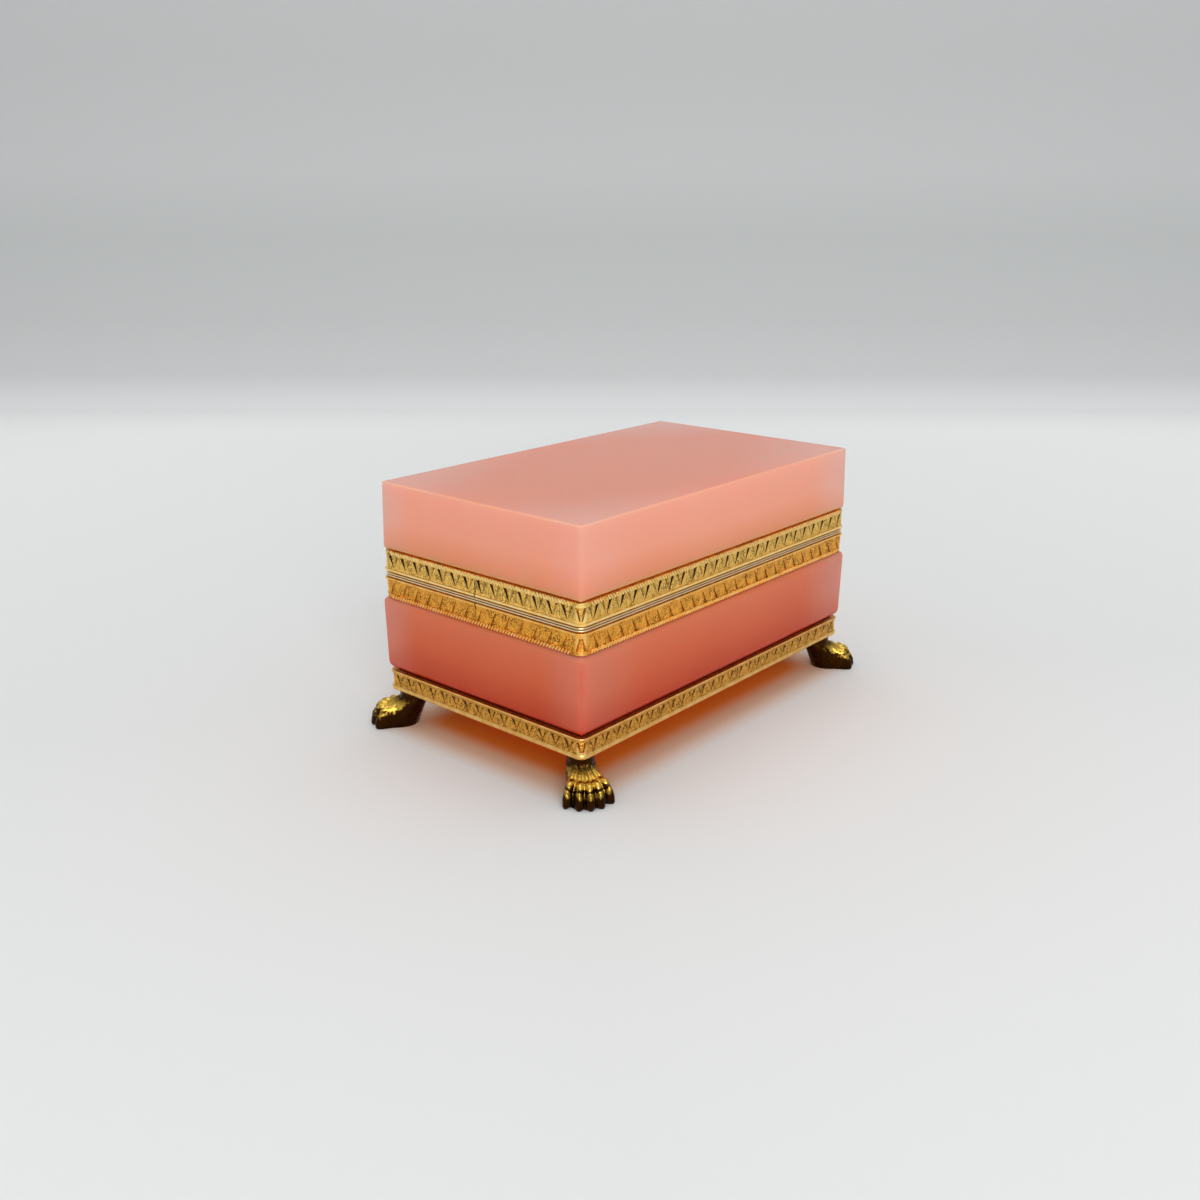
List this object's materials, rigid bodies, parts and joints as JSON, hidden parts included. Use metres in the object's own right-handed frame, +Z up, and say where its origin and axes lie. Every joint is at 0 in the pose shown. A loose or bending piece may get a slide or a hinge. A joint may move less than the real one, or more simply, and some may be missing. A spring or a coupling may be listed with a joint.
{
  "type": "glass casket box",
  "caption": "Hollow glass casket box with a hinged lid, stamped gilt brass bands round its mouth and base, and cast lion's-paw feet.",
  "frame": {"origin": "on the floor, under the middle of the box", "axes": "+X along the long sides, +Z up, the front towards -Y, the hinge along the back at +Y"},
  "size_m": [0.168, 0.1076, 0.0872],
  "materials": {
    "opaline_lid": "pale rose opaline glass, polished",
    "opaline_body": "deeper rose opaline glass, polished",
    "gilt_brass": "stamped brass, gilt, worn",
    "antique_brass": "cast brass, dark in the hollows and rubbed bright on the ridges",
    "plaster": "setting plaster, matt",
    "steel": "plain steel"
  },
  "bodies": {
    "body": {"body_glass": "opaline_body", "body_plaster": "plaster", "body_band": "gilt_brass", "body_rim": "gilt_brass", "body_hinge_leaf": "gilt_brass", "hinge_pin": "steel", "base_plaster": "plaster", "base_band": "gilt_brass", "base_frame": "gilt_brass", "foot_screws": "steel", "foot_front_left": "antique_brass", "foot_front_right": "antique_brass", "foot_back_left": "antique_brass", "foot_back_right": "antique_brass"},
    "lid": {"lid_glass": "opaline_lid", "lid_plaster": "plaster", "lid_band": "gilt_brass", "lid_rim": "gilt_brass", "lid_hinge_leaf": "gilt_brass"}
  },
  "joints": [
    {"name": "lid_hinge", "type": "hinge", "parent": "body", "child": "lid", "pos_m": [0, 0.0461, 0.0555], "axis": [-1, 0, 0], "range_deg": [0, 100]}
  ]
}
